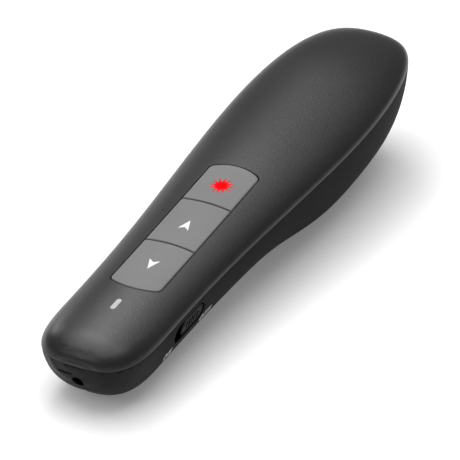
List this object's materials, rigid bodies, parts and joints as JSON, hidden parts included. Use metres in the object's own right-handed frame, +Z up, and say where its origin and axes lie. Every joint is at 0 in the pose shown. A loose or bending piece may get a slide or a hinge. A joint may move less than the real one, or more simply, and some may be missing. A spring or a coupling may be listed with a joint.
{
  "type": "wireless presentation clicker",
  "caption": "Hand-held presentation remote: curved two-part shell, laser and page keys, side power slide, battery cover underneath and a plug-in receiver in the tail.",
  "frame": {"origin": "on the table, under the middle of the clicker's overall box", "axes": "+Y runs along the body from the laser at the nose to the tail, +Z is up from the table, +X is the side with the power slide"},
  "size_m": [0.0362, 0.1494, 0.0302],
  "materials": {
    "shell": "fine-grained moulded plastic",
    "cover": "fine-grained moulded plastic",
    "slider": "moulded plastic",
    "key": "satin moulded plastic",
    "light_pipe": "clear moulded plastic",
    "lamp": "clear resin",
    "board": "solder-masked glass laminate",
    "component": "moulded resin",
    "ceramic": "fired ceramic",
    "steel": "nickel-plated sheet",
    "screw": "zinc-plated",
    "brass": "turned",
    "gold": "gold-plated",
    "glass": "polished",
    "cell": "plain sleeve",
    "wire": "insulated wire",
    "plunger": "moulded plastic"
  },
  "bodies": {
    "housing": {"upper_shell": "shell", "lower_shell": "shell", "slide_switch_body": "steel", "indicator_light_pipe": "light_pipe", "indicator_lamp": "lamp", "circuit_board": "board", "tact_switch_laser": "component", "tact_switch_page_up": "component", "tact_switch_page_down": "component", "laser_barrel": "brass", "laser_lens_ring": "brass", "laser_lens": "glass", "laser_diode_can": "steel", "laser_driver_board": "board", "laser_leads": "wire", "radio_chip": "component", "controller_chip": "component", "crystal_can": "steel", "chip_antenna": "ceramic", "chip_components": "ceramic", "battery_cell_left": "cell", "battery_cell_right": "cell", "contact_positive": "steel", "contact_negative": "steel", "negative_spring": "steel", "contact_bridge": "steel", "bridge_spring": "steel", "battery_leads": "wire", "case_screws": "screw", "board_screws": "screw"},
    "laser_key": {"laser_button": "key", "tact_plunger_laser": "plunger"},
    "page_up_key": {"page_up_button": "key", "tact_plunger_page_up": "plunger"},
    "page_down_key": {"page_down_button": "key", "tact_plunger_page_down": "plunger"},
    "slider": {"power_slider": "slider", "slide_switch_lever": "component"},
    "cover": {"battery_cover": "cover"},
    "receiver": {"receiver_cap": "shell", "receiver_plug_shell": "steel", "receiver_tongue": "component", "receiver_contacts": "gold"}
  },
  "joints": [
    {"name": "laser_button_press", "type": "slide", "parent": "housing", "child": "laser_key", "axis": [0, 0.0872, -0.9962], "range_m": [0, 0.0004], "stiffness_N_per_m": 900, "springref_m": -0.0002},
    {"name": "page_up_press", "type": "slide", "parent": "housing", "child": "page_up_key", "axis": [0, 0.0872, -0.9962], "range_m": [0, 0.0004], "stiffness_N_per_m": 900, "springref_m": -0.0002},
    {"name": "page_down_press", "type": "slide", "parent": "housing", "child": "page_down_key", "axis": [0, 0.0872, -0.9962], "range_m": [0, 0.0004], "stiffness_N_per_m": 900, "springref_m": -0.0002},
    {"name": "power_slide", "type": "slide", "parent": "housing", "child": "slider", "axis": [0, -0.9962, -0.0872], "range_m": [0, 0.003]},
    {"name": "battery_cover_open", "type": "hinge", "parent": "housing", "child": "cover", "pos_m": [0, 0.00402, 0.0029], "axis": [-1, 0, 0], "range_deg": [0, 30]},
    {"name": "receiver_pull", "type": "slide", "parent": "housing", "child": "receiver", "axis": [0, 0.9962, 0.0872], "range_m": [0, 0.019]}
  ]
}
